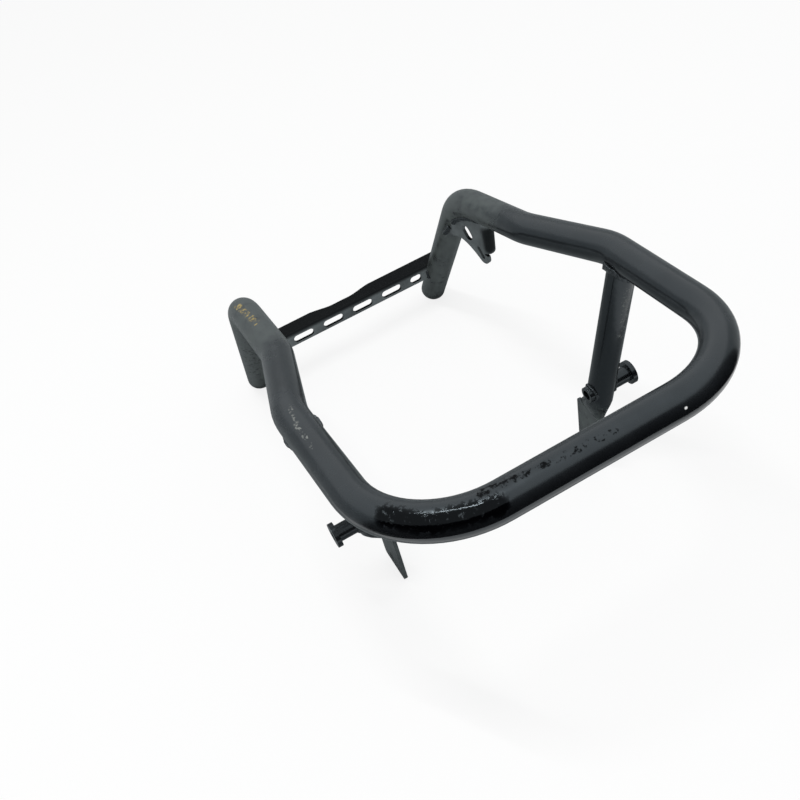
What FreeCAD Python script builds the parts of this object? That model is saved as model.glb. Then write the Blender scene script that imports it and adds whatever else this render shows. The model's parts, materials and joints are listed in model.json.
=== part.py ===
import FreeCAD, Part
import math
import os
from FreeCAD import Vector

# Welded tube front bumper for a small quad bike.
# Millimetres. X to the right, front toward minus Y, Z up, floor at Z = 0, the two halves mirror about X = 0.

# Main loop tube, bent cold from one length
tube_outside_diameter = 25.4
tube_wall = 2.0
bend_radius = 70.0

# Corner points of the tube centreline, right half, measured forward from the rear foot and up from it
foot_half_width = 106.0
rear_bend_half_width = 109.5
rear_bend_forward = 119.0
rear_bend_rise = 166.0
joggle_start_half_width = 111.5
joggle_start_forward = 230.0
joggle_start_rise = 185.5
joggle_end_half_width = 132.0
joggle_end_forward = 320.5
joggle_end_rise = 200.5
front_corner_half_width = 128.5
front_corner_forward = 483.5
front_corner_rise = 208.5

# Front struts, round tube with the lower end pressed flat into a mounting tab
strut_outside_diameter = 22.0
strut_wall = 1.6
strut_along_side_bar = 16.0
tab_corner_radius = 3.0
tab_bolt_hole_diameter = 10.5
tab_bolt_hole_from_end = 12.5
tab_lean_degrees = 7.4
flattening_start = 11.0
flattening_length = 14.0
flattening_bands = 5
flattened_edge_inset = 0.6
tab_lap_on_flattening = 4.0
bore_end_before_tab = 2.0

# Flanged peg bushes welded through the struts
peg_half_width = 109.0
peg_forward = 318.4
peg_height = 81.0
peg_shaft_diameter = 13.5
peg_bore_diameter = 8.5
peg_flange_diameter = 20.0
peg_flange_thickness = 4.0
peg_reach_outside_strut = 17.0
peg_reach_inside_strut = 1.8
peg_hole_clearance = 0.1

# Slotted cross plate, an angle pressed from sheet
plate_sheet = 3.0
plate_web_height = 13.5
plate_flange_depth = 21.0
plate_relief_depth = 5.0
plate_relief_half_width = 34.0
plate_relief_flat = 12.0
plate_fold_radius = 4.0
plate_top_height = 58.1
plate_front_ahead_of_leg = -2.0
plate_flange_past_leg = 6.0
plate_slot_below_web_middle = 0.5
plate_slot_height = 7.6
plate_slot_length = 22.5
plate_end_slot_length = 13.0
plate_slot_pitch = 34.0
plate_end_slot_from_middle = 80.0

# Gusset brackets inside the two rear bends, measured ahead of and below the corner point of the bend
gusset_sheet = 3.0
gusset_inside_bend_axis = 7.0
gusset_turn_degrees = 9.0
gusset_edge_rear_forward = -9.3
gusset_edge_rear_drop = 39.8
gusset_edge_crest_forward = 0.0
gusset_edge_crest_drop = 37.3
gusset_edge_fall_forward = 13.0
gusset_edge_fall_drop = 41.0
gusset_lug_forward = 32.3
gusset_lug_drop = 46.2
gusset_lug_radius = 7.2
gusset_lug_edge_degrees = 44.0
gusset_lug_slot_width = 4.0
gusset_lug_slot_centres = 9.5
gusset_window_forward = 14.2
gusset_window_drop = 27.4
gusset_window_length = 15.0
gusset_window_width = 10.5
gusset_hole_lean_degrees = 58.5
gusset_fold_bottom_forward = 40.2
gusset_fold_bottom_drop = 42.0
gusset_fold_top_forward = 47.3
gusset_fold_top_drop = -2.0
gusset_fold_inside_radius = 2.0
gusset_fold_relief = 1.5
gusset_flange_width = 9.0
gusset_flange_corner = 3.0
gusset_flange_top_slope = 1.0

# Weld bead radii
strut_bead = 3.2
peg_bead = 1.5
gusset_bead = 2.6
plate_bead = 2.4

# Weld runs along the gusset, measured along the tube from the start and the end of the bend
leg_run_start_before_bend = 19.0
leg_run_end_before_bend = 3.0
bend_run_start_after_bend = 8.0
bend_run_end_after_bend = 6.0

# Values that follow from the sizes above
tube_radius = tube_outside_diameter / 2.0
strut_radius = strut_outside_diameter / 2.0
leg_lean = math.atan2(rear_bend_forward, rear_bend_rise)
foot_height = tube_radius * math.sin(leg_lean)
foot_back = tube_radius * math.cos(leg_lean)
middle_shift = (front_corner_forward + tube_radius - foot_back) / 2.0


def place(half_width, forward, height):
    """A point from its half width, its distance ahead of the rear foot and its height."""
    return Vector(half_width, middle_shift - forward, height)


def unit(vector):
    """The same direction with length one."""
    return Vector(vector).multiply(1.0 / vector.Length)


def mirrored(shape):
    """The left-hand twin of a right-hand piece."""
    return shape.mirror(Vector(0, 0, 0), Vector(1, 0, 0))


def bent_path(corners, radius):
    """Straight lines through the corners, joined by tangent arcs of one radius."""
    edges = []
    start = corners[0]
    for before, corner, after in zip(corners, corners[1:], corners[2:]):
        arriving = unit(corner - before)
        leaving = unit(after - corner)
        turn = arriving.getAngle(leaving)
        setback = radius * math.tan(turn / 2.0)
        arc_start = corner - arriving * setback
        arc_end = corner + leaving * setback
        toward_centre = unit(leaving - arriving)
        centre = corner + toward_centre * (radius / math.cos(turn / 2.0))
        arc_middle = centre - toward_centre * radius
        edges.append(Part.makeLine(start, arc_start))
        edges.append(Part.Arc(arc_start, arc_middle, arc_end).toShape())
        start = arc_end
    edges.append(Part.makeLine(start, corners[-1]))
    return Part.Wire(edges)


def swept_round(path, radius):
    """A round bar of the given radius along a path."""
    first = path.OrderedEdges[0]
    start = first.valueAt(first.FirstParameter)
    heading = first.tangentAt(first.FirstParameter)
    disc = Part.Face(Part.Wire([Part.makeCircle(radius, start, heading)]))
    return path.makePipe(disc)


def round_bar(start, end, radius):
    """A straight round bar between two points."""
    return Part.makeCylinder(radius, (end - start).Length, start, end - start)


def along(path, first, last, count):
    """Points and headings at even steps between two distances along a path."""
    lengths = [edge.Length for edge in path.OrderedEdges]
    found = []
    for step in range(count):
        distance = first + (last - first) * step / (count - 1.0)
        for edge, length in zip(path.OrderedEdges, lengths):
            if distance <= length:
                parameter = edge.getParameterByLength(distance)
                found.append((edge.valueAt(parameter), unit(edge.tangentAt(parameter))))
                break
            distance -= length
    return found


def collar(start, end, radius, bead, fat_other, solids):
    """The ring of weld around a bar, kept to what lies near the other piece and clear of both."""
    return round_bar(start, end, radius + bead).common(fat_other).cut(solids)


# Main loop
right_corners = [
    place(foot_half_width, 0.0, foot_height),
    place(rear_bend_half_width, rear_bend_forward, foot_height + rear_bend_rise),
    place(joggle_start_half_width, joggle_start_forward, foot_height + joggle_start_rise),
    place(joggle_end_half_width, joggle_end_forward, foot_height + joggle_end_rise),
    place(front_corner_half_width, front_corner_forward, foot_height + front_corner_rise),
]
left_corners = [Vector(-corner.x, corner.y, corner.z) for corner in reversed(right_corners)]
loop_path = bent_path(right_corners + left_corners, bend_radius)
loop_bar = swept_round(loop_path, tube_radius)
loop_bore = swept_round(loop_path, tube_radius - tube_wall)
main_loop_tube = loop_bar.cut(loop_bore)

foot, rear_bend, joggle_start, joggle_end, front_corner = right_corners

# Strut line, from the middle of the side bar to the middle of the peg
peg_centre = place(peg_half_width, peg_forward, peg_height)
strut_top = joggle_end + unit(front_corner - joggle_end) * strut_along_side_bar
strut_heading = unit(peg_centre - strut_top)

# Peg bush, turned, with the flange at its outer end, its ends set from where it leaves the leaning strut
outward = Vector(1, 0, 0)
peg_radius = peg_shaft_diameter / 2.0
strut_slant = math.asin(abs(strut_heading.dot(outward)))
peg_exit = strut_radius / math.cos(strut_slant) + peg_radius * math.tan(strut_slant)
peg_inner_end = peg_centre - outward * (peg_exit + peg_reach_inside_strut)
peg_outer_end = peg_centre + outward * (peg_exit + peg_reach_outside_strut)
peg_shaft = round_bar(peg_inner_end, peg_outer_end, peg_radius)
peg_flange = round_bar(peg_outer_end - outward * peg_flange_thickness, peg_outer_end, peg_flange_diameter / 2.0)
peg_bore = round_bar(peg_inner_end - outward, peg_outer_end + outward, peg_bore_diameter / 2.0)
right_peg_bush = peg_shaft.fuse(peg_flange).removeSplitter().cut(peg_bore)

# Strut with its flattened tab
tab_lean = math.radians(tab_lean_degrees)
tab_down = Vector(0, math.sin(tab_lean), -math.cos(tab_lean))
tab_front = Vector(0, -math.cos(tab_lean), -math.sin(tab_lean))
tab_thickness = 2.0 * strut_wall
tab_width = math.pi * (strut_outside_diameter - strut_wall) / 2.0 + strut_wall
tab_plane = peg_centre.x - strut_radius
long_axis_bias = 1.00001
tab_root = Vector(tab_plane, peg_centre.y, peg_centre.z)
nose_reach = tab_width / 2.0 - tab_corner_radius
tab_length = tab_corner_radius + (tab_root.z + nose_reach * tab_front.z - tab_corner_radius) / -tab_down.z


def tab_point(down, front):
    """A point of the tab's middle plane."""
    return tab_root + tab_down * down + tab_front * front


def oval(centre, normal, half_front, half_side):
    """An elliptical outline square to a heading, with its long axis toward the front."""
    front_way = unit(tab_front - normal * tab_front.dot(normal))
    side_way = unit(normal.cross(front_way))
    curve = Part.Ellipse(centre + front_way * half_front, centre + side_way * half_side, centre)
    return Part.Wire([curve.toShape()])


def strut_body(radius, half_flat, half_wide, shortening):
    """The strut as one skin: straight and round, then blending in short bands from round to nearly flat."""
    blend_start = peg_centre + strut_heading * flattening_start
    blend_end = tab_point(flattening_start + flattening_length - shortening, 0.0)
    outlines = [oval(strut_top, strut_heading, radius * long_axis_bias, radius)]
    outlines.append(oval(blend_start, strut_heading, radius * long_axis_bias, radius))
    for band in range(1, flattening_bands + 1):
        share = band / float(flattening_bands)
        ease = share * share * (3.0 - 2.0 * share)
        on_strut = blend_start + strut_heading * ((blend_end - blend_start).Length * share)
        on_tab = blend_end - tab_down * ((blend_end - blend_start).Length * (1.0 - share))
        centre = on_strut * (1.0 - ease) + on_tab * ease
        heading = unit(strut_heading * (1.0 - ease) + tab_down * ease)
        half_front = radius * long_axis_bias + (half_wide - radius) * ease
        half_side = radius + (half_flat - radius) * ease
        outlines.append(oval(centre, heading, half_front, half_side))
    return Part.makeLoft(outlines, True, True)


half_pressed = tab_width / 2.0 - flattened_edge_inset
strut_skin = strut_body(strut_radius, tab_thickness / 3.0, half_pressed, 0.0)
strut_bore = strut_body(
    strut_radius - strut_wall, tab_thickness / 6.0, half_pressed - strut_wall, bore_end_before_tab
)
tab_start = flattening_start + flattening_length - tab_lap_on_flattening
tab_outline = [
    tab_point(tab_start, tab_width / 2.0),
    tab_point(tab_length - tab_corner_radius, tab_width / 2.0),
    tab_point(tab_length, nose_reach),
    tab_point(tab_length, -nose_reach),
    tab_point(tab_length - tab_corner_radius, -tab_width / 2.0),
    tab_point(tab_start, -tab_width / 2.0),
]
corner_swing = tab_corner_radius * math.sqrt(0.5)
front_corner_middle = tab_point(tab_length - tab_corner_radius + corner_swing, nose_reach + corner_swing)
back_corner_middle = tab_point(tab_length - tab_corner_radius + corner_swing, -nose_reach - corner_swing)
tab_wire = Part.Wire([
    Part.makeLine(tab_outline[0], tab_outline[1]),
    Part.Arc(tab_outline[1], front_corner_middle, tab_outline[2]).toShape(),
    Part.makeLine(tab_outline[2], tab_outline[3]),
    Part.Arc(tab_outline[3], back_corner_middle, tab_outline[4]).toShape(),
    Part.makeLine(tab_outline[4], tab_outline[5]),
    Part.makeLine(tab_outline[5], tab_outline[0]),
])
tab_face = Part.Face(tab_wire)
tab_face.translate(Vector(-tab_thickness / 2.0, 0, 0))
tab_sheet = tab_face.extrude(Vector(tab_thickness, 0, 0))
bolt_centre = tab_point(tab_length - tab_bolt_hole_from_end, 0.0)
across_strut = outward * (2.0 * strut_outside_diameter)
bolt_hole = round_bar(bolt_centre - across_strut, bolt_centre + across_strut, tab_bolt_hole_diameter / 2.0)
peg_hole_radius = peg_radius + peg_hole_clearance
peg_hole = round_bar(peg_centre - across_strut, peg_centre + across_strut, peg_hole_radius)
right_strut_tube = strut_skin.fuse(tab_sheet).cut(loop_bar).cut(strut_bore).cut(peg_hole).cut(bolt_hole)

# Cross plate
plate_x = foot_half_width + plate_flange_past_leg
leg_rise_share = (plate_top_height - plate_web_height / 2.0 - foot_height) / rear_bend_rise
plate_front = place(0.0, rear_bend_forward * leg_rise_share + plate_front_ahead_of_leg, 0.0).y
plate_bottom = plate_top_height - plate_web_height
fold_out = plate_fold_radius
fold_in = plate_fold_radius - plate_sheet


def profile_point(back, up):
    """A point of the plate's section, measured back from its front face and up from the floor."""
    return Vector(-plate_x, plate_front + back, up)


swing = 1.0 - math.sqrt(0.5)
section = Part.Wire([
    Part.makeLine(profile_point(0, plate_bottom), profile_point(0, plate_top_height - fold_out)),
    Part.Arc(
        profile_point(0, plate_top_height - fold_out),
        profile_point(fold_out * swing, plate_top_height - fold_out * swing),
        profile_point(fold_out, plate_top_height),
    ).toShape(),
    Part.makeLine(profile_point(fold_out, plate_top_height), profile_point(plate_flange_depth, plate_top_height)),
    Part.makeLine(
        profile_point(plate_flange_depth, plate_top_height),
        profile_point(plate_flange_depth, plate_top_height - plate_sheet),
    ),
    Part.makeLine(
        profile_point(plate_flange_depth, plate_top_height - plate_sheet),
        profile_point(fold_out, plate_top_height - plate_sheet),
    ),
    Part.Arc(
        profile_point(fold_out, plate_top_height - plate_sheet),
        profile_point(plate_sheet + fold_in * swing, plate_top_height - plate_sheet - fold_in * swing),
        profile_point(plate_sheet, plate_top_height - fold_out),
    ).toShape(),
    Part.makeLine(profile_point(plate_sheet, plate_top_height - fold_out), profile_point(plate_sheet, plate_bottom)),
    Part.makeLine(profile_point(plate_sheet, plate_bottom), profile_point(0, plate_bottom)),
])
plate_angle = Part.Face(section).extrude(Vector(2.0 * plate_x, 0, 0))


def slot_cut(middle, length):
    """A round-ended slot through the upright web."""
    radius = plate_slot_height / 2.0
    half = length / 2.0 - radius
    height = plate_bottom + plate_web_height / 2.0 - plate_slot_below_web_middle
    start = Vector(middle, plate_front - 1.0, height)
    depth = Vector(0, plate_sheet + 2.0, 0)
    left_end = round_bar(start - Vector(half, 0, 0), start - Vector(half, 0, 0) + depth, radius)
    right_end = round_bar(start + Vector(half, 0, 0), start + Vector(half, 0, 0) + depth, radius)
    between = Part.makeBox(2.0 * half, depth.y, plate_slot_height, start - Vector(half, 0, radius))
    return left_end.fuse([right_end, between])


slot_cuts = [slot_cut((place_number - 1.5) * plate_slot_pitch, plate_slot_length) for place_number in range(4)]
slot_cuts.append(slot_cut(plate_end_slot_from_middle, plate_end_slot_length))
slot_cuts.append(slot_cut(-plate_end_slot_from_middle, plate_end_slot_length))

relief_back = plate_front + plate_flange_depth
relief_face = relief_back - plate_relief_depth
relief_curve = Part.BSplineCurve()
relief_slope = (plate_relief_half_width + plate_relief_flat) / 2.0
relief_curve.interpolate(
    [
        Vector(-plate_relief_half_width, relief_back, 0),
        Vector(-relief_slope, (relief_back + relief_face) / 2.0, 0),
        Vector(-plate_relief_flat, relief_face, 0),
        Vector(0, relief_face, 0),
        Vector(plate_relief_flat, relief_face, 0),
        Vector(relief_slope, (relief_back + relief_face) / 2.0, 0),
        Vector(plate_relief_half_width, relief_back, 0),
    ]
)
relief_far = [Vector(plate_relief_half_width, relief_back + 5.0, 0), Vector(-plate_relief_half_width, relief_back + 5.0, 0)]
relief_wire = Part.Wire([
    relief_curve.toShape(),
    Part.makeLine(Vector(plate_relief_half_width, relief_back, 0), relief_far[0]),
    Part.makeLine(relief_far[0], relief_far[1]),
    Part.makeLine(relief_far[1], Vector(-plate_relief_half_width, relief_back, 0)),
])
relief = Part.Face(relief_wire).extrude(Vector(0, 0, 2.0 * plate_top_height))
cross_plate = plate_angle.cut(slot_cuts + [relief]).cut(loop_bar)
cross_plate = max(cross_plate.Solids, key=lambda solid: solid.Volume)


# Gusset bracket
gusset_turn = math.radians(gusset_turn_degrees)
gusset_ahead = Vector(math.sin(gusset_turn), -math.cos(gusset_turn), 0)
gusset_outward = Vector(math.cos(gusset_turn), math.sin(gusset_turn), 0)
gusset_through = gusset_outward * gusset_sheet
gusset_root = rear_bend - Vector(gusset_inside_bend_axis, 0, 0) - gusset_through * 0.5


def gusset_point(forward, drop):
    """A point of the gusset's inner face, ahead of and below the rear bend corner."""
    return gusset_root + gusset_ahead * forward - Vector(0, 0, drop)


fold_bottom = gusset_point(gusset_fold_bottom_forward, gusset_fold_bottom_drop)
fold_top = gusset_point(gusset_fold_top_forward, gusset_fold_top_drop)
fold_up = unit(fold_top - fold_bottom)
fold_length = (fold_top - fold_bottom).Length
fold_ahead = unit(gusset_outward.cross(fold_up))
fold_outside_radius = gusset_fold_inside_radius + gusset_sheet
flat_end = fold_ahead * -fold_outside_radius

lug_edge = math.radians(gusset_lug_edge_degrees)
lug_start = gusset_point(
    gusset_lug_forward - gusset_lug_radius * math.sin(lug_edge), gusset_lug_drop + gusset_lug_radius * math.cos(lug_edge)
)
lug_lowest = gusset_point(gusset_lug_forward, gusset_lug_drop + gusset_lug_radius)
lug_end = gusset_point(gusset_lug_forward + gusset_lug_radius, gusset_lug_drop)
lug_shoulder = gusset_point(gusset_lug_forward + gusset_lug_radius, gusset_fold_bottom_drop + gusset_fold_relief)
relief_end = fold_bottom + flat_end - Vector(0, 0, gusset_fold_relief)
in_leg = gusset_point(-gusset_edge_rear_drop * math.tan(leg_lean) / math.cos(gusset_turn), gusset_edge_rear_drop)
in_bend = gusset_point(0.0, gusset_fold_top_drop)
edge_rear = gusset_point(gusset_edge_rear_forward, gusset_edge_rear_drop)
lower_edge = Part.BSplineCurve()
lower_edge.interpolate(
    [
        edge_rear,
        gusset_point(gusset_edge_crest_forward, gusset_edge_crest_drop),
        gusset_point(gusset_edge_fall_forward, gusset_edge_fall_drop),
        lug_start,
    ]
)
gusset_wire = Part.Wire([
    lower_edge.toShape(),
    Part.Arc(lug_start, lug_lowest, lug_end).toShape(),
    Part.makeLine(lug_end, lug_shoulder),
    Part.makeLine(lug_shoulder, relief_end),
    Part.makeLine(relief_end, fold_bottom + flat_end),
    Part.makeLine(fold_bottom + flat_end, fold_top + flat_end),
    Part.makeLine(fold_top + flat_end, in_bend),
    Part.makeLine(in_bend, in_leg),
    Part.makeLine(in_leg, edge_rear),
])
gusset_plate = Part.Face(gusset_wire).extrude(gusset_through)

fold_centre = fold_bottom + flat_end + gusset_outward * fold_outside_radius
fold_diagonal = unit(fold_ahead - gusset_outward)
fold_wire = Part.Wire([
    Part.Arc(
        fold_centre - gusset_outward * fold_outside_radius,
        fold_centre + fold_diagonal * fold_outside_radius,
        fold_centre + fold_ahead * fold_outside_radius,
    ).toShape(),
    Part.makeLine(
        fold_centre + fold_ahead * fold_outside_radius, fold_centre + fold_ahead * gusset_fold_inside_radius
    ),
    Part.Arc(
        fold_centre + fold_ahead * gusset_fold_inside_radius,
        fold_centre + fold_diagonal * gusset_fold_inside_radius,
        fold_centre - gusset_outward * gusset_fold_inside_radius,
    ).toShape(),
    Part.makeLine(
        fold_centre - gusset_outward * gusset_fold_inside_radius, fold_centre - gusset_outward * fold_outside_radius
    ),
])
gusset_fold = Part.Face(fold_wire).extrude(fold_up * fold_length)

flange_start = fold_bottom + gusset_outward * fold_outside_radius
flange_end = fold_bottom + gusset_outward * gusset_flange_width
flange_corner_start = flange_end - gusset_outward * gusset_flange_corner
flange_corner_end = flange_end + fold_up * gusset_flange_corner
flange_corner_centre = flange_corner_start + fold_up * gusset_flange_corner
flange_corner_middle = flange_corner_centre + unit(gusset_outward - fold_up) * gusset_flange_corner
flange_top_outside = flange_end + fold_up * (fold_length - gusset_flange_top_slope)
flange_top_inside = flange_start + fold_up * fold_length
flange_wire = Part.Wire([
    Part.makeLine(flange_start, flange_corner_start),
    Part.Arc(flange_corner_start, flange_corner_middle, flange_corner_end).toShape(),
    Part.makeLine(flange_corner_end, flange_top_outside),
    Part.makeLine(flange_top_outside, flange_top_inside),
    Part.makeLine(flange_top_inside, flange_start),
])
gusset_flange = Part.Face(flange_wire).extrude(fold_ahead * -gusset_sheet)


def long_hole(first, last, width):
    """A round-ended hole through the gusset between two centres."""
    before = gusset_through * -1.0
    through = gusset_through * 3.0
    across = unit(unit(last - first).cross(gusset_outward)) * (width / 2.0)
    ends = [round_bar(centre + before, centre + before + through, width / 2.0) for centre in (first, last)]
    sides = [first + across, last + across, last - across, first - across]
    sides = [corner + before for corner in sides]
    between = Part.Face(Part.makePolygon(sides + [sides[0]])).extrude(through)
    return ends[0].fuse([ends[1], between])


hole_lean = math.radians(gusset_hole_lean_degrees)
hole_way = gusset_ahead * math.cos(hole_lean) - Vector(0, 0, math.sin(hole_lean))
window_half = hole_way * ((gusset_window_length - gusset_window_width) / 2.0)
window_middle = gusset_point(gusset_window_forward, gusset_window_drop)
window = long_hole(window_middle - window_half, window_middle + window_half, gusset_window_width)
lug_slot_end = gusset_point(gusset_lug_forward, gusset_lug_drop)
lug_slot_start = lug_slot_end - hole_way * gusset_lug_slot_centres
lug_slot = long_hole(lug_slot_start, lug_slot_end, gusset_lug_slot_width)
gusset_body = gusset_plate.fuse([gusset_fold, gusset_flange]).removeSplitter()
right_gusset_bracket = gusset_body.cut([window, lug_slot]).cut(loop_bar)
right_gusset_bracket = max(right_gusset_bracket.Solids, key=lambda solid: solid.Volume)

# Weld beads
strut_root = strut_top + strut_heading * (tube_radius / 3.0)
strut_end = peg_centre + strut_heading * flattening_start
loop_fat = swept_round(loop_path, tube_radius + strut_bead)
collar_end = strut_root + strut_heading * (tube_outside_diameter + strut_outside_diameter)
right_strut_weld = collar(strut_root, collar_end, strut_radius, strut_bead, loop_fat, [loop_bar, strut_skin])

strut_fat = round_bar(strut_top, strut_end, strut_radius + peg_bead)
peg_inner_half = round_bar(peg_centre, peg_inner_end, peg_radius)
peg_outer_half = round_bar(peg_centre, peg_outer_end, peg_radius)
right_peg_inner_weld = collar(
    peg_centre, peg_inner_end, peg_radius, peg_bead, strut_fat, [strut_skin, peg_inner_half]
)
right_peg_outer_weld = collar(
    peg_centre, peg_outer_end, peg_radius, peg_bead, strut_fat, [strut_skin, peg_outer_half]
)


def seam_bead(first, last, count):
    """A bead where the gusset's inner face meets the tube, between two distances along it from the rear foot."""
    points = []
    for point, heading in along(loop_path, first, last, count):
        offset = (gusset_root - point).dot(gusset_outward)
        side = gusset_outward - heading * gusset_outward.dot(heading)
        sine = offset / (tube_radius * side.Length)
        below = unit(side.cross(heading))
        points.append(point + (unit(side) * sine + below * math.sqrt(1.0 - sine ** 2)) * tube_radius)
    seam = Part.BSplineCurve()
    seam.interpolate(points)
    return swept_round(Part.Wire([seam.toShape()]), gusset_bead).cut([loop_bar, gusset_body])


leg_run = (rear_bend - foot).Length
bend_turn = (rear_bend - foot).getAngle(joggle_start - rear_bend)
bend_setback = bend_radius * math.tan(bend_turn / 2.0)
bend_start = leg_run - bend_setback
bend_end = bend_start + bend_radius * bend_turn
right_gusset_leg_weld = seam_bead(bend_start - leg_run_start_before_bend, bend_start - leg_run_end_before_bend, 5)
right_gusset_tube_weld = seam_bead(bend_start + bend_run_start_after_bend, bend_end + bend_run_end_after_bend, 9)

plate_end_heights = [plate_bottom, plate_top_height - plate_fold_radius]
plate_seam = []
for height in plate_end_heights:
    share = (height - foot_height) / rear_bend_rise
    axis = foot + (rear_bend - foot) * share
    gap = (plate_front - axis.y) * math.cos(leg_lean)
    plate_seam.append(Vector(axis.x - math.sqrt(tube_radius ** 2 - gap ** 2), plate_front, height))
right_plate_weld = round_bar(plate_seam[0], plate_seam[1], plate_bead).cut([loop_bar, plate_angle])

# Pieces
pieces = {
    "main_loop_tube": main_loop_tube,
    "cross_plate": cross_plate,
    "right_strut_tube": right_strut_tube,
    "right_peg_bush": right_peg_bush,
    "right_gusset_bracket": right_gusset_bracket,
    "right_strut_weld": right_strut_weld,
    "right_peg_outer_weld": right_peg_outer_weld,
    "right_peg_inner_weld": right_peg_inner_weld,
    "right_gusset_leg_weld": right_gusset_leg_weld,
    "right_gusset_tube_weld": right_gusset_tube_weld,
    "right_plate_weld": right_plate_weld,
}
for name in [name for name in pieces if name.startswith("right_")]:
    pieces[name.replace("right_", "left_")] = mirrored(pieces[name])

os.makedirs("parts", exist_ok=True)
for name, shape in pieces.items():
    shape.exportStep("parts/" + name + ".step")
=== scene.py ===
import json
import logging
import math
from dataclasses import dataclass, field
from enum import Enum
from typing import Any

import bmesh
import bpy
import numpy as np
from mathutils import Matrix, Vector, noise


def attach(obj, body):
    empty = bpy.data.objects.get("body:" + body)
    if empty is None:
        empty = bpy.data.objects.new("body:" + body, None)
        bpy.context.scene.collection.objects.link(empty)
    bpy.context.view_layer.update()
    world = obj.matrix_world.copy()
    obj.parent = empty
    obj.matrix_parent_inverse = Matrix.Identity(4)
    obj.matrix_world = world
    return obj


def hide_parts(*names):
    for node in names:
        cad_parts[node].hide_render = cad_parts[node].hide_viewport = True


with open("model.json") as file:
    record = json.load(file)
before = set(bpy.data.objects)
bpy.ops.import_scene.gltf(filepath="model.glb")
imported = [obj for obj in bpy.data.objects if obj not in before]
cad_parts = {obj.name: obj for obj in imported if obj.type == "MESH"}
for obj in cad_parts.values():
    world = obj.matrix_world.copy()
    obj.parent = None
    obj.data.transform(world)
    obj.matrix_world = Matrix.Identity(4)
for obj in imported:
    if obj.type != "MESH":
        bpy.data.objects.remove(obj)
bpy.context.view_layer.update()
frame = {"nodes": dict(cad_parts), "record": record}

Point = tuple[float, float, float]
Tree = bpy.types.NodeTree
Socket = bpy.types.NodeSocket

LOG = logging.getLogger("front_bumper")
BODY = "root"
SIDES = (-1.0, 1.0)
MILLIMETRE = 0.001

# The photo's frame, and a sensor of the usual width
FRAME_PIXELS = 800.0
SENSOR_MM = 36.0

# The sRGB curve
FULL_BYTE = 255.0
SRGB_KNEE = 0.04045
SRGB_SLOPE = 12.92
SRGB_OFFSET = 0.055
SRGB_POWER = 2.4

# Places of the Mix node's sockets, several of which share a name
MIX_SHARE = 0
NUMBER_UNDER = 2
NUMBER_OVER = 3
COLOUR_UNDER = 6
COLOUR_OVER = 7
NUMBER_RESULT = 0
COLOUR_RESULT = 2

# Enamel is a hard clear resin full of black pigment: its shine is slightly cold, and strongest at a slant.
ENAMEL_IOR = 1.58
ENAMEL_CAST = "#e6f6ff"
FULL_SHINE = 0.5

# How far up a face looks to count as a side or as a top, and how patchy the fading and the painted reflection
# are
SIDE_SLOPE = 0.05
TOP_SLOPE = 0.9
CLOUD_LOW = 0.3
CLOUD_HIGH = 0.7
CLOUD_LEAST = 0.35

# How much nearness counts beside the grain, and the share of a mark's reach where the wear is at its full
REACH_WEIGHT = 0.3
CORE_SHARE = 0.35

# Real grit is about 0.3 mm wide. A pixel covers about a millimetre, so grit is drawn coarser, to show.
GRIT_GRAIN_MM = 1.8


def metres(point_mm: Point) -> Vector:
    """A point given in millimetres, in metres."""
    return Vector(point_mm) * MILLIMETRE


def per_metre(size_mm: float) -> float:
    """The texture scale that gives a pattern of this size."""
    return 1.0 / (size_mm * MILLIMETRE)


def linear(code: str) -> tuple[float, float, float, float]:
    """Turns an sRGB hex colour into linear light.

    Args:
        code: six hex digits after a hash mark.

    Returns:
        Red, green, blue and a full alpha.
    """
    shares = [int(code[place:place + 2], 16) / FULL_BYTE for place in (1, 3, 5)]
    light = [
        share / SRGB_SLOPE
        if share <= SRGB_KNEE
        else ((share + SRGB_OFFSET) / (1.0 + SRGB_OFFSET)) ** SRGB_POWER
        for share in shares
    ]
    return light[0], light[1], light[2], 1.0


def add_node(tree: Tree, kind: str, settings: dict[Any, Any], links: dict[Any, Socket]) -> bpy.types.Node:
    """Adds one node with its settings and its incoming links.

    Args:
        tree: the node tree to add to.
        kind: the node's type name.
        settings: values by property name, or by input socket name or number.
        links: output sockets by input socket name or number.

    Returns:
        The new node.
    """
    node = tree.nodes.new(kind)
    for key, value in settings.items():
        if isinstance(key, str) and hasattr(node, key):
            setattr(node, key, value)
        else:
            node.inputs[key].default_value = value
    for key, source in links.items():
        tree.links.new(source, node.inputs[key])
    return node


def empty_material(name: str) -> bpy.types.Material:
    """Makes a material that has no nodes yet.

    Args:
        name: the material's name.

    Returns:
        The new material.
    """
    material = bpy.data.materials.new(name)
    material.use_nodes = True
    material.node_tree.nodes.clear()
    return material


def add_object(name: str, data: bpy.types.ID) -> bpy.types.Object:
    """Makes an object and links it to the scene.

    Args:
        name: the object's name.
        data: its mesh, lamp or camera.

    Returns:
        The new object.
    """
    made = bpy.data.objects.new(name, data)
    bpy.context.scene.collection.objects.link(made)
    return made


class Wear(Enum):
    """What has happened to the paint at one place, and where shade is painted on it."""

    TAN_SCUFF = "tan_scuff"
    DUST = "dust"
    PALE_SCRATCH = "pale_scratch"
    DARK_RUB = "dark_rub"
    GRIT_AND_PAINTED_SHADE = "grit_and_painted_shade"
    PAINT_CHIP = "paint_chip"
    DARK_SPECK = "dark_speck"
    BARE_SPOT = "bare_spot"
    PAINTED_SHADE = "painted_shade"


@dataclass(frozen=True)
class WearLook:
    """How one kind of wear looks: its colour and gloss, and the grain that breaks it up.

    Wear shows where its grain rises over the threshold.
    Wear with no shine of its own keeps the paint's shine.
    """

    colour: str
    roughness: float
    grain_mm: float
    threshold: float
    softness: float = 0.05
    strength: float = 1.0
    shine: float | None = None
    grit_mm: float = 0.0


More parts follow.
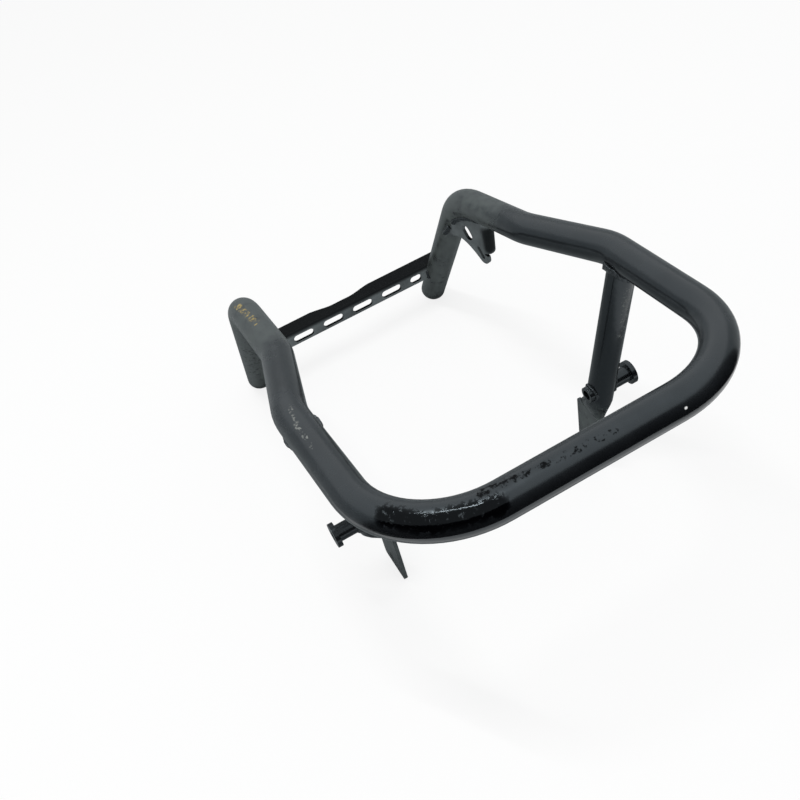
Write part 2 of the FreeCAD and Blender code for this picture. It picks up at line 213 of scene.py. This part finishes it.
# A pixel covers about a millimetre of the part, so the grains of scratches, rubs, chips and specks,
# which are finer than that on the real paint, are drawn 2 to 4 mm wide, to show.
WEAR_LOOKS: dict[Wear, WearLook] = {
    # Scuffs with dry dirt in them: tan and dull, in broken streaks
    Wear.TAN_SCUFF: WearLook(colour="#a8945c", roughness=0.75, shine=0.3, grain_mm=4.5, threshold=0.55),
    # A thin veil of dust: it turns the black grey and takes off the gloss
    Wear.DUST: WearLook(
        colour="#535957", roughness=0.6, grain_mm=11.0, threshold=0.42, softness=0.2, strength=0.65
    ),
    # Scratches in the topmost paint: pale and dull, in fine bits
    Wear.PALE_SCRATCH: WearLook(colour="#8b8d88", roughness=0.6, grain_mm=3.0, threshold=0.56, strength=0.7),
    # Places rubbed through the faded skin: black, with next to no shine
    Wear.DARK_RUB: WearLook(colour="#020203", roughness=0.5, shine=0.06, grain_mm=3.6, threshold=0.53),
    # Paint over grit, with painted shade: black, its reflection turned down where the corner mirrors the dark
    # room, and grit that breaks the lamp's glint
    Wear.GRIT_AND_PAINTED_SHADE: WearLook(
        colour="#020203", roughness=0.09, shine=0.1, grain_mm=3.4, threshold=0.38, grit_mm=0.05
    ),
    # Small chips: grey points that feel rough
    Wear.PAINT_CHIP: WearLook(
        colour="#6d706c", roughness=0.6, grain_mm=2.4, threshold=0.58, strength=0.6, grit_mm=0.05
    ),
    # Dark specks: black points in the dust
    Wear.DARK_SPECK: WearLook(
        colour="#040506", roughness=0.5, shine=0.15, grain_mm=3.2, threshold=0.58, strength=0.9, grit_mm=0.05
    ),
    # One spot with no paint: a white point, whole, because its grain is far wider than the spot
    Wear.BARE_SPOT: WearLook(colour="#f0f0ee", roughness=0.5, grain_mm=40.0, threshold=0.0),
    # Painted shade: black and smooth, laid on the gussets' bends where the flanges mirror the dark room
    Wear.PAINTED_SHADE: WearLook(
        colour="#060708", roughness=0.25, grain_mm=8.0, threshold=0.25, softness=0.1, strength=0.9
    ),
}


@dataclass(frozen=True)
class WearMark:
    """One worn place, or one patch of painted shade: a run between two points of the surface, and how far it
    reaches from that run.
    """

    kind: Wear
    start_mm: Point
    end_mm: Point
    reach_mm: float


LOOP_MARKS: tuple[WearMark, ...] = (
    # Rear bends
    WearMark(Wear.DUST, (-115.0, 104.0, 187.0), (-113.0, 54.0, 199.0), 70.0),
    WearMark(Wear.DUST, (107.0, 118.0, 180.0), (108.0, 84.0, 190.0), 70.0),
    WearMark(Wear.TAN_SCUFF, (-114.5, 103.0, 189.0), (-111.3, 54.0, 198.5), 6.0),
    # Left side bar
    WearMark(Wear.PALE_SCRATCH, (-131.2, -82.0, 220.8), (-133.6, -108.0, 221.9), 3.0),
    WearMark(Wear.PALE_SCRATCH, (-134.5, -104.0, 221.4), (-134.0, -133.0, 222.8), 3.0),
    # Front left corner: grit under painted shade, on its lower front
    WearMark(Wear.GRIT_AND_PAINTED_SHADE, (-122.0, -215.0, 224.5), (-106.0, -236.0, 224.5), 11.0),
    WearMark(Wear.GRIT_AND_PAINTED_SHADE, (-106.0, -236.0, 224.5), (-67.0, -250.0, 224.5), 11.0),
    # Front bar
    WearMark(Wear.DARK_RUB, (-72.0, -238.5, 228.3), (-44.0, -242.5, 228.4), 6.0),
    WearMark(Wear.DARK_RUB, (-44.0, -242.5, 228.4), (14.0, -246.5, 227.1), 4.4),
    WearMark(Wear.BARE_SPOT, (58.6, -252.3, 220.7), (58.9, -252.3, 220.7), 1.2),
    # Rear legs
    *(WearMark(Wear.DUST, (side * 109.0, 132.0, 150.0), (side * 106.0, 236.0, 10.0), 40.0) for side in SIDES),
    WearMark(Wear.DARK_SPECK, (-113.5, 160.0, 103.0), (-112.0, 202.0, 45.0), 16.0),
)
STRUT_MARKS: tuple[WearMark, ...] = (
    WearMark(Wear.PAINT_CHIP, (126.5, -99.0, 184.0), (121.0, -93.0, 142.0), 8.0),
    *(WearMark(Wear.DUST, (side * 98.0, -74.0, 46.0), (side * 98.0, -69.0, 8.0), 36.0) for side in SIDES),
)
# Painted shade on each gusset's bend and flange, black where the sheet mirrors the dark room
GUSSET_PAINTED_SHADE: tuple[WearMark, ...] = tuple(
    WearMark(Wear.PAINTED_SHADE, (side * 111.0, 83.0, 156.0), (side * 111.0, 84.0, 138.0), 9.0)
    for side in SIDES
)


@dataclass(frozen=True)
class Layer:
    """The sockets of a coat of paint: colour, roughness, shine, if that varies, and height in metres."""

    colour: Socket
    roughness: Socket
    shine: Socket | None
    height: Socket


@dataclass(frozen=True)
class BlackEnamel:
    """Black enamel on steel: dark and glossy when fresh, grey and dull where faded, with its wear; on sheet
    the grey and the black are painted reflection.

    The orange peel of real enamel is 2 to 3 mm wide. On wide faces it is drawn coarser, to show.
    """

    name: str
    fresh_and_shade: str
    faded_and_sheen: str
    side_fade_and_sheen: float
    top_fade_and_sheen: float
    fresh_roughness: float
    faded_roughness: float
    peel_mm: float = 6.0
    peel_depth_mm: float = 0.06
    cloud_mm: float = 40.0
    edge_mm: float = 0.0
    edge_samples: int = 6
    shine: float = FULL_SHINE
    marks: tuple[WearMark, ...] = ()

    def build(self) -> bpy.types.Material:
        """Makes the material of this enamel.

        Returns:
            The new material.
        """
        material = empty_material(self.name)
        tree = material.node_tree
        place = add_node(tree, "ShaderNodeTexCoord", {}, {}).outputs["Object"]
        paint = self._coat(tree, place)
        for mark in self.marks:
            paint = self._worn(tree, place, mark, paint)
        links = {
            "Base Color": paint.colour,
            "Roughness": paint.roughness,
            "Normal": self._relief(tree, paint.height),
        }
        if paint.shine is not None:
            links["Specular IOR Level"] = paint.shine
        shader = add_node(
            tree,
            "ShaderNodeBsdfPrincipled",
            {"IOR": ENAMEL_IOR, "Specular IOR Level": self.shine, "Specular Tint": linear(ENAMEL_CAST)},
            links,
        )
        add_node(tree, "ShaderNodeOutputMaterial", {}, {"Surface": shader.outputs[0]})
        return material

    def _coat(self, tree: Tree, place: Socket) -> Layer:
        """Lays the whole paint, from the dark tone to the grey one.

        Args:
            tree: the material's nodes.
            place: the position socket.

        Returns:
            The sockets of the paint before any mark.
        """
        # The grey share set by facing: fading on the tube, painted reflection on the sheet
        fade_and_sheen = self._fading_and_sheen(tree, place)
        colour = add_node(
            tree,
            "ShaderNodeMix",
            {"data_type": "RGBA", COLOUR_UNDER: linear(self.fresh_and_shade), COLOUR_OVER: linear(self.faded_and_sheen)},
            {MIX_SHARE: fade_and_sheen},
        ).outputs[COLOUR_RESULT]
        roughness = add_node(
            tree,
            "ShaderNodeMapRange",
            {"To Min": self.fresh_roughness, "To Max": self.faded_roughness},
            {"Value": fade_and_sheen},
        ).outputs[0]
        return Layer(colour, roughness, None, self._peel(tree, place))

    def _fading_and_sheen(self, tree: Tree, place: Socket) -> Socket:
        """Works out how far the paint goes to grey on sides and on tops, in clouds: fading on tube, painted
        reflection on sheet.

        Args:
            tree: the material's nodes.
            place: the position socket.

        Returns:
            A socket from 0, the dark tone, to 1, the grey one.
        """
        normal = add_node(tree, "ShaderNodeNewGeometry", {}, {}).outputs["Normal"]
        upward = add_node(tree, "ShaderNodeSeparateXYZ", {}, {0: normal}).outputs["Z"]
        level = add_node(
            tree,
            "ShaderNodeMapRange",
            {
                "interpolation_type": "SMOOTHSTEP",
                "From Min": SIDE_SLOPE,
                "From Max": TOP_SLOPE,
                "To Min": self.side_fade_and_sheen,
                "To Max": self.top_fade_and_sheen,
            },
            {"Value": upward},
        ).outputs[0]
        clouds = add_node(
            tree,
            "ShaderNodeTexNoise",
            {"Scale": per_metre(self.cloud_mm), "Detail": 6.0, "Roughness": 0.62},
            {"Vector": place},
        ).outputs[0]
        patchy = add_node(
            tree,
            "ShaderNodeMapRange",
            {"From Min": CLOUD_LOW, "From Max": CLOUD_HIGH, "To Min": CLOUD_LEAST, "To Max": 1.0},
            {"Value": clouds},
        ).outputs[0]
        return add_node(tree, "ShaderNodeMath", {"operation": "MULTIPLY"}, {0: level, 1: patchy}).outputs[0]

    def _peel(self, tree: Tree, place: Socket) -> Socket:
        """Gives the paint its shallow orange peel.

        Args:
            tree: the material's nodes.
            place: the position socket.

        Returns:
            A height socket in metres.
        """
        peel = add_node(
            tree,
            "ShaderNodeTexNoise",
            {"Scale": per_metre(self.peel_mm), "Detail": 3.0, "Roughness": 0.55},
            {"Vector": place},
        ).outputs[0]
        return add_node(
            tree,
            "ShaderNodeMath",
            {"operation": "MULTIPLY", 1: self.peel_depth_mm * MILLIMETRE},
            {0: peel},
        ).outputs[0]

    def _worn(self, tree: Tree, place: Socket, mark: WearMark, paint: Layer) -> Layer:
        """Lays one mark, of wear or of painted shade, over the paint so far.

        Args:
            tree: the material's nodes.
            place: the position socket.
            mark: the worn place.
            paint: the sockets of the paint so far.

        Returns:
            The sockets with the mark laid over them.
        """
        look = WEAR_LOOKS[mark.kind]
        share = self._cover(tree, place, mark)
        colour = add_node(
            tree,
            "ShaderNodeMix",
            {"data_type": "RGBA", COLOUR_OVER: linear(look.colour)},
            {MIX_SHARE: share, COLOUR_UNDER: paint.colour},
        ).outputs[COLOUR_RESULT]
        roughness = add_node(
            tree,
            "ShaderNodeMix",
            {"data_type": "FLOAT", NUMBER_OVER: look.roughness},
            {MIX_SHARE: share, NUMBER_UNDER: paint.roughness},
        ).outputs[NUMBER_RESULT]
        shine = paint.shine
        if look.shine is not None:
            under = {} if paint.shine is None else {NUMBER_UNDER: paint.shine}
            shine = add_node(
                tree,
                "ShaderNodeMix",
                {"data_type": "FLOAT", NUMBER_UNDER: self.shine, NUMBER_OVER: look.shine},
                {MIX_SHARE: share, **under},
            ).outputs[NUMBER_RESULT]
        height = paint.height
        if look.grit_mm > 0.0:
            height = self._gritty(tree, place, look.grit_mm, share, height)
        return Layer(colour, roughness, shine, height)

    def _cover(self, tree: Tree, place: Socket, mark: WearMark) -> Socket:
        """Works out how much of the paint a worn place covers, in grains that thin out towards its reach.

        Args:
            tree: the material's nodes.
            place: the position socket.
            mark: the worn place.

        Returns:
            A socket from 0, where the paint is whole, to the strength of the wear.
        """
        look = WEAR_LOOKS[mark.kind]
        near = self._nearness(tree, place, mark)
        grain = add_node(
            tree,
            "ShaderNodeTexNoise",
            {"Scale": per_metre(look.grain_mm), "Detail": 5.0, "Roughness": 0.7},
            {"Vector": place},
        ).outputs[0]
        amount = add_node(
            tree,
            "ShaderNodeMath",
            {"operation": "MULTIPLY_ADD", 1: REACH_WEIGHT},
            {0: near, 2: grain},
        ).outputs[0]
        edge = look.threshold + REACH_WEIGHT
        cover = add_node(
            tree,
            "ShaderNodeMapRange",
            {
                "interpolation_type": "SMOOTHSTEP",
                "From Min": edge - look.softness,
                "From Max": edge + look.softness,
                "To Max": look.strength,
            },
            {"Value": amount},
        ).outputs[0]
        return add_node(tree, "ShaderNodeMath", {"operation": "MULTIPLY"}, {0: cover, 1: near}).outputs[0]

    def _nearness(self, tree: Tree, place: Socket, mark: WearMark) -> Socket:
        """Works out how near a point is to the run of a mark.

        Args:
            tree: the material's nodes.
            place: the position socket.
            mark: the worn place.

        Returns:
            A socket that is 1 close to the run and 0 past its reach.
        """
        start = metres(mark.start_mm)
        run = metres(mark.end_mm) - start
        offset = add_node(
            tree,
            "ShaderNodeVectorMath",
            {"operation": "SUBTRACT", 1: start},
            {0: place},
        ).outputs[0]
        ahead = add_node(
            tree,
            "ShaderNodeVectorMath",
            {"operation": "DOT_PRODUCT", 1: run / run.length_squared},
            {0: offset},
        ).outputs["Value"]
        share = add_node(tree, "ShaderNodeClamp", {}, {"Value": ahead}).outputs[0]
        along = add_node(
            tree,
            "ShaderNodeVectorMath",
            {"operation": "SCALE", 0: run},
            {"Scale": share},
        ).outputs[0]
        away = add_node(
            tree,
            "ShaderNodeVectorMath",
            {"operation": "DISTANCE"},
            {0: offset, 1: along},
        ).outputs["Value"]
        reach = mark.reach_mm * MILLIMETRE
        return add_node(
            tree,
            "ShaderNodeMapRange",
            {
                "interpolation_type": "SMOOTHSTEP",
                "From Min": CORE_SHARE * reach,
                "From Max": reach,
                "To Min": 1.0,
                "To Max": 0.0,
            },
            {"Value": away},
        ).outputs[0]

    def _gritty(self, tree: Tree, place: Socket, grit_mm: float, share: Socket, height: Socket) -> Socket:
        """Raises grit under the paint of a worn place.

        Args:
            tree: the material's nodes.
            place: the position socket.
            grit_mm: how high the grit stands.
            share: the share that the wear covers.
            height: the height socket so far.

        Returns:
            The height socket with the grit on it, in metres.
        """
        grit = add_node(
            tree,
            "ShaderNodeTexNoise",
            {"Scale": per_metre(GRIT_GRAIN_MM), "Detail": 2.0, "Roughness": 0.5},
            {"Vector": place},
        ).outputs[0]
        raised = add_node(
            tree,
            "ShaderNodeMath",
            {"operation": "MULTIPLY", 1: grit_mm * MILLIMETRE},
            {0: grit},
        ).outputs[0]
        return add_node(
            tree,
            "ShaderNodeMath",
            {"operation": "MULTIPLY_ADD"},
            {0: raised, 1: share, 2: height},
        ).outputs[0]

    def _relief(self, tree: Tree, height: Socket) -> Socket:
        """Turns the height into a normal, over edges rounded as paint rounds them.

        Args:
            tree: the material's nodes.
            height: the height socket in metres.

        Returns:
            The normal socket.
        """
        links = {"Height": height}
        if self.edge_mm > 0.0:
            edge = {"samples": self.edge_samples, "Radius": self.edge_mm * MILLIMETRE}
            links["Normal"] = add_node(tree, "ShaderNodeBevel", edge, {}).outputs[0]
        return add_node(tree, "ShaderNodeBump", {"Strength": 1.0, "Distance": 1.0}, links).outputs[0]


# Thick enamel on drawn tube: a soft sheen runs along each bar, grey on its faded top and black below.
TUBE_ENAMEL = BlackEnamel(
    name="black_enamel_on_tube",
    fresh_and_shade="#08090b",
    faded_and_sheen="#202326",
    side_fade_and_sheen=0.2,
    top_fade_and_sheen=0.9,
    fresh_roughness=0.16,
    faded_roughness=0.34,
    marks=LOOP_MARKS + STRUT_MARKS,
)
# Thin enamel on pressed sheet, with painted reflection: upright faces are painted a flat grey for the bright
# floor they mirror, and the flanges that face up are painted black, with their shine turned down, for the
# dark room they mirror.
SHEET_ENAMEL = BlackEnamel(
    name="black_enamel_on_sheet_with_painted_reflection",
    fresh_and_shade="#060708",
    faded_and_sheen="#6f7678",
    side_fade_and_sheen=1.0,
    top_fade_and_sheen=0.0,
    fresh_roughness=0.2,
    faded_roughness=0.42,
    edge_mm=0.6,
    shine=0.07,
    marks=GUSSET_PAINTED_SHADE,
)
# Enamel on turned steel: dark all round, with a narrow light line on each rounded edge.
PEG_ENAMEL = BlackEnamel(
    name="black_enamel_on_turned_steel",
    fresh_and_shade="#090a0c",
    faded_and_sheen="#1b1d1f",
    side_fade_and_sheen=0.3,
    top_fade_and_sheen=0.6,
    fresh_roughness=0.2,
    faded_roughness=0.32,
    edge_mm=0.5,
)
# Enamel pooled over weld beads: each ripple catches a small light of its own.
WELD_ENAMEL = BlackEnamel(
    name="black_enamel_on_weld",
    fresh_and_shade="#0c0d10",
    faded_and_sheen="#2a2d2f",
    side_fade_and_sheen=0.5,
    top_fade_and_sheen=0.8,
    fresh_roughness=0.2,
    faded_roughness=0.34,
    peel_mm=2.5,
)


@dataclass(frozen=True)
class WeldRun:
    """One hand-laid weld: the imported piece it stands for, and the ripples that the puddle left along it.

    A ripple is an arch of height 1. Its level is taken off, so that the bead keeps its size.
    """

    node: str
    ripple_mm: float
    lift_mm: float
    around: bool
    voxel_mm: float = 0.4
    smoothing: int = 3
    arch_level: float = 0.8
    lump_mm: float = 5.0
    lump_share: float = 0.7

    def build(self, material: bpy.types.Material) -> bpy.types.Object:
        """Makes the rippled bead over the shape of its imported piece.

        Args:
            material: the enamel over the weld.

        Returns:
            The new piece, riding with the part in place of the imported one.
        """
        mesh = self._even_mesh(frame["nodes"][self.node])
        self._ripple(mesh)
        mesh.materials.clear()
        mesh.materials.append(material)
        piece = add_object(self.node + "_bead", mesh)
        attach(piece, BODY)
        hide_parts(self.node)
        return piece

    def _even_mesh(self, packed: bpy.types.Object) -> bpy.types.Mesh:
        """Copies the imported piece's shape with evenly spaced points, in the part's own frame.

        Args:
            packed: the piece as it comes from the construction.

        Returns:
            The new mesh.
        """
        source = packed.data.copy()
        source.transform(packed.matrix_world)
        holder = add_object(self.node + "_even", source)
        remesh = holder.modifiers.new("even", "REMESH")
        remesh.mode = "VOXEL"
        remesh.voxel_size = self.voxel_mm * MILLIMETRE
        smooth = holder.modifiers.new("round", "SMOOTH")
        smooth.iterations = self.smoothing
        depsgraph = bpy.context.evaluated_depsgraph_get()
        even = bpy.data.meshes.new_from_object(holder.evaluated_get(depsgraph))
        bpy.data.objects.remove(holder)
        bpy.data.meshes.remove(source)
        even.name = self.node + "_bead"
        return even

    def _ripple(self, mesh: bpy.types.Mesh) -> None:
        """Moves the points of a bead in and out, in ripples and lumps.

        Args:
            mesh: the evenly spaced mesh of the bead.
        """
        count = len(mesh.vertices)
        points = np.empty(count * 3)
        normals = np.empty(count * 3)
        mesh.vertices.foreach_get("co", points)
        mesh.vertices.foreach_get("normal", normals)
        points = points.reshape(count, 3)
        normals = normals.reshape(count, 3)
        along = self._along(points) / (self.ripple_mm * MILLIMETRE)
        arch = np.sqrt(1.0 - (2.0 * (along - np.floor(along)) - 1.0) ** 2)
        lumps = np.array([noise.noise(Vector(point) * per_metre(self.lump_mm)) for point in points])
        lift = (arch - self.arch_level + self.lump_share * lumps) * self.lift_mm * MILLIMETRE
        mesh.vertices.foreach_set("co", (points + normals * lift[:, None]).ravel())
        mesh.polygons.foreach_set("use_smooth", [True] * len(mesh.polygons))

    def _along(self, points: np.ndarray) -> np.ndarray:
        """Measures how far along the weld each point lies: round a ring, or down the longest way of a run.

        Args:
            points: the bead's points, one to a row.

        Returns:
            One length for each point, in metres.
        """
        middle = points.mean(axis=0)
        ways = np.linalg.svd(points - middle, full_matrices=False)[2]
        local = (points - middle) @ ways.T
        if not self.around:
            return local[:, 0]
        radius = np.hypot(local[:, 0], local[:, 1]).mean()
        return np.arctan2(local[:, 1], local[:, 0]) * radius


WELD_RUNS: tuple[WeldRun, ...] = tuple(
    WeldRun(side + name, ripple_mm, lift_mm, around)
    for side in ("left_", "right_")
    for name, ripple_mm, lift_mm, around in (
        ("strut_weld", 3.4, 0.7, True),
        ("peg_outer_weld", 2.4, 0.4, True),
        ("peg_inner_weld", 2.4, 0.4, True),
        ("gusset_leg_weld", 3.0, 0.8, False),
        ("gusset_tube_weld", 3.0, 0.8, False),
        ("plate_weld", 2.4, 0.5, False),
    )
)


@dataclass
class Weldment:
    """The pieces that come packed from the construction, each under the enamel that it was painted with."""

    finishes: dict[str, BlackEnamel] = field(
        default_factory=lambda: {
            "tube_paint": TUBE_ENAMEL,
            "bracket_paint": SHEET_ENAMEL,
            "peg_paint": PEG_ENAMEL,
            "weld_paint": WELD_ENAMEL,
        }
    )

    def dress(self) -> None:
        """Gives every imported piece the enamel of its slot, and lays the welds."""
        made = {slot: finish.build() for slot, finish in self.finishes.items()}
        for subpart in frame["record"]["subparts"]:
            piece = frame["nodes"][subpart["node"]]
            slot = subpart["material_slot"]
            piece.data.materials.clear()
            piece.data.materials.append(made[slot])
            LOG.info("painted %s with %s", piece.name, made[slot].name)
        for run in WELD_RUNS:
            bead = run.build(made["weld_paint"])
            LOG.info("laid %s with %d points", bead.name, len(bead.data.vertices))


@dataclass
class Studio:
    """A white floor, a strip lamp overhead, and a flag and a grey card that only reflections see.

    Lengths are in metres.
    """

    floor_radius: float = 14.0
    floor_segments: int = 96
    floor_colour: str = "#f4f5f5"
    floor_lift: float = 0.8
    lamp_place: Point = (-0.22, -0.12, 1.9)
    lamp_length: float = 0.95
    lamp_width: float = 0.03
    lamp_turn_degrees: float = -60.0
    lamp_power: float = 12.0
    fill: float = 0.75
    backdrop_colour: str = "#ffffff"
    flag_segments: int = 72
    flag_foot_radius: float = 0.42
    flag_top_radius: float = 0.92
    flag_height: float = 0.6
    flag_first_degrees: float = -165.0
    flag_last_degrees: float = -25.0
    flag_colour: str = "#15171a"
    back_colour: str = "#aeb3b5"
    card_middle: Point = (0.0, 0.12, 0.001)
    card_segments: int = 72
    card_radius: float = 0.36
    card_colour: str = "#8c9294"

    def build(self) -> None:
        """Sets up the floor, the flag, the card, the lamp and the world."""
        self._floor()
        self._flag()
        self._card()
        self._lamp()
        self._world()

    def _stage_piece(
        self, name: str, maker: bmesh.types.BMesh, material: bpy.types.Material
    ) -> bpy.types.Object:
        """Makes a stage object from a filled mesh maker.

        Args:
            name: the object's name.
            maker: the mesh maker, which is freed.
            material: the object's first material.

        Returns:
            The new object.
        """
        mesh = bpy.data.meshes.new(name)
        maker.to_mesh(mesh)
        maker.free()
        mesh.materials.append(material)
        piece = add_object(name, mesh)
        return piece

    def _seen_white(self, tree: Tree) -> Socket:
        """Tells the rays that see the background from those that light the part.

        Args:
            tree: the nodes of the floor's material or of the world.

        Returns:
            A socket that is 1 for rays from the camera, and for reflected and transmitted ones.
        """
        path = add_node(tree, "ShaderNodeLightPath", {}, {})
        seen = add_node(
            tree,
            "ShaderNodeMath",
            {"operation": "MAXIMUM"},
            {0: path.outputs["Is Camera Ray"], 1: path.outputs["Is Glossy Ray"]},
        ).outputs[0]
        return add_node(
            tree,
            "ShaderNodeMath",
            {"operation": "MAXIMUM"},
            {0: seen, 1: path.outputs["Is Transmission Ray"]},
        ).outputs[0]

    def _matt(self, name: str, colour: str) -> bpy.types.Material:
        """Makes a plain matt material.

        Args:
            name: the material's name.
            colour: its sRGB hex colour.

        Returns:
            The new material.
        """
        material = empty_material(name)
        tree = material.node_tree
        matt = add_node(tree, "ShaderNodeBsdfDiffuse", {"Color": linear(colour)}, {}).outputs[0]
        add_node(tree, "ShaderNodeOutputMaterial", {}, {"Surface": matt})
        return material

    def _reflected_only(self, piece: bpy.types.Object) -> None:
        """Hides a stage piece from all but reflections.

        Args:
            piece: the stage piece.
        """
        piece.visible_camera = False
        piece.visible_diffuse = False
        piece.visible_shadow = False

    def _floor(self) -> None:
        """Lays the floor, lifted towards pure white, with the part's shadow left on it."""
        # White card: matt, so that the eye sees an even white and a soft shadow
        material = empty_material("white_card_floor")
        tree = material.node_tree
        card = add_node(tree, "ShaderNodeBsdfDiffuse", {"Color": linear(self.floor_colour)}, {}).outputs[0]
        glow = add_node(tree, "ShaderNodeEmission", {"Strength": 1.0}, {}).outputs[0]
        lift = add_node(
            tree,
            "ShaderNodeMath",
            {"operation": "MULTIPLY", 1: self.floor_lift},
            {0: self._seen_white(tree)},
        ).outputs[0]
        surface = add_node(tree, "ShaderNodeMixShader", {}, {0: lift, 1: card, 2: glow}).outputs[0]
        add_node(tree, "ShaderNodeOutputMaterial", {}, {"Surface": surface})
        maker = bmesh.new()
        bmesh.ops.create_circle(
            maker, cap_ends=True, segments=self.floor_segments, radius=self.floor_radius
        )
        self._stage_piece("floor", maker, material)

    def _flag(self) -> None:
        """Stands a flag round the set, dark in front and grey behind."""
        maker = bmesh.new()
        bmesh.ops.create_cone(
            maker,
            cap_ends=False,
            segments=self.flag_segments,
            radius1=self.flag_foot_radius,
            radius2=self.flag_top_radius,
            depth=self.flag_height,
            matrix=Matrix.Translation((0.0, 0.0, self.flag_height / 2.0)),
        )
        for face in maker.faces:
            middle = face.calc_center_median()
            bearing = math.degrees(math.atan2(middle.y, middle.x))
            face.material_index = int(self.flag_first_degrees <= bearing <= self.flag_last_degrees)
        # Felt: it swallows light, so that the gloss of the lower sides shows it as a dark band
        flag = self._stage_piece("ring_flag", maker, self._matt("grey_felt_flag", self.back_colour))
        flag.data.materials.append(self._matt("dark_felt_flag", self.flag_colour))
        self._reflected_only(flag)

    def _card(self) -> None:
        """Lays a grey card under the part."""
        maker = bmesh.new()
        bmesh.ops.create_circle(
            maker,
            cap_ends=True,
            segments=self.card_segments,
            radius=self.card_radius,
            matrix=Matrix.Translation(self.card_middle),
        )
        # Grey paper: matt, so that legs and struts mirror a calm grey and not the bright floor
        paper = self._matt("grey_card_paper", self.card_colour)
        self._reflected_only(self._stage_piece("grey_card", maker, paper))

    def _lamp(self) -> None:
        """Hangs one strip lamp over the set."""
        data = bpy.data.lights.new("overhead_strip", "AREA")
        data.shape = "RECTANGLE"
        data.size = self.lamp_length
        data.size_y = self.lamp_width
        data.energy = self.lamp_power
        lamp = add_object("overhead_strip", data)
        lamp.location = self.lamp_place
        lamp.rotation_euler = (0.0, 0.0, math.radians(self.lamp_turn_degrees))

    def _world(self) -> None:
        """Lights the set evenly from all round, behind a white backdrop."""
        world = bpy.data.worlds.new("studio_world")
        bpy.context.scene.world = world
        world.use_nodes = True
        tree = world.node_tree
        tree.nodes.clear()
        strength = add_node(
            tree,
            "ShaderNodeMapRange",
            {"To Min": self.fill, "To Max": 1.0},
            {"Value": self._seen_white(tree)},
        ).outputs[0]
        sky = add_node(
            tree,
            "ShaderNodeBackground",
            {"Color": linear(self.backdrop_colour)},
            {"Strength": strength},
        ).outputs[0]
        add_node(tree, "ShaderNodeOutputWorld", {}, {"Surface": sky})


@dataclass
class PhotoCamera:
    """The camera, where the photo was taken from, in metres."""

    position: Point = (-0.1959, -0.5949, 0.6385)
    right: Point = (0.8653, -0.4441, -0.2327)
    ahead: Point = (0.1979, 0.7291, -0.6551)
    focal_pixels: float = 992.2
    nearest: float = 0.01
    farthest: float = 60.0

    def build(self) -> None:
        """Makes the camera and gives it to the scene."""
        data = bpy.data.cameras.new("photo_camera")
        data.sensor_width = SENSOR_MM
        data.lens = SENSOR_MM * self.focal_pixels / FRAME_PIXELS
        data.clip_start = self.nearest
        data.clip_end = self.farthest
        camera = add_object("photo_camera", data)
        back = -Vector(self.ahead).normalized()
        right = Vector(self.right)
        right = (right - back * right.dot(back)).normalized()
        turn = Matrix((right, back.cross(right), back)).transposed().to_4x4()
        camera.matrix_world = Matrix.Translation(self.position) @ turn
        bpy.context.scene.camera = camera


def main() -> None:
    """Builds the dressed part and its studio."""
    logging.basicConfig(level=logging.INFO, format="%(name)s: %(message)s")
    bpy.context.scene.view_settings.view_transform = "Standard"
    Weldment().dress()
    Studio().build()
    PhotoCamera().build()


if __name__ == "__main__":
    main()
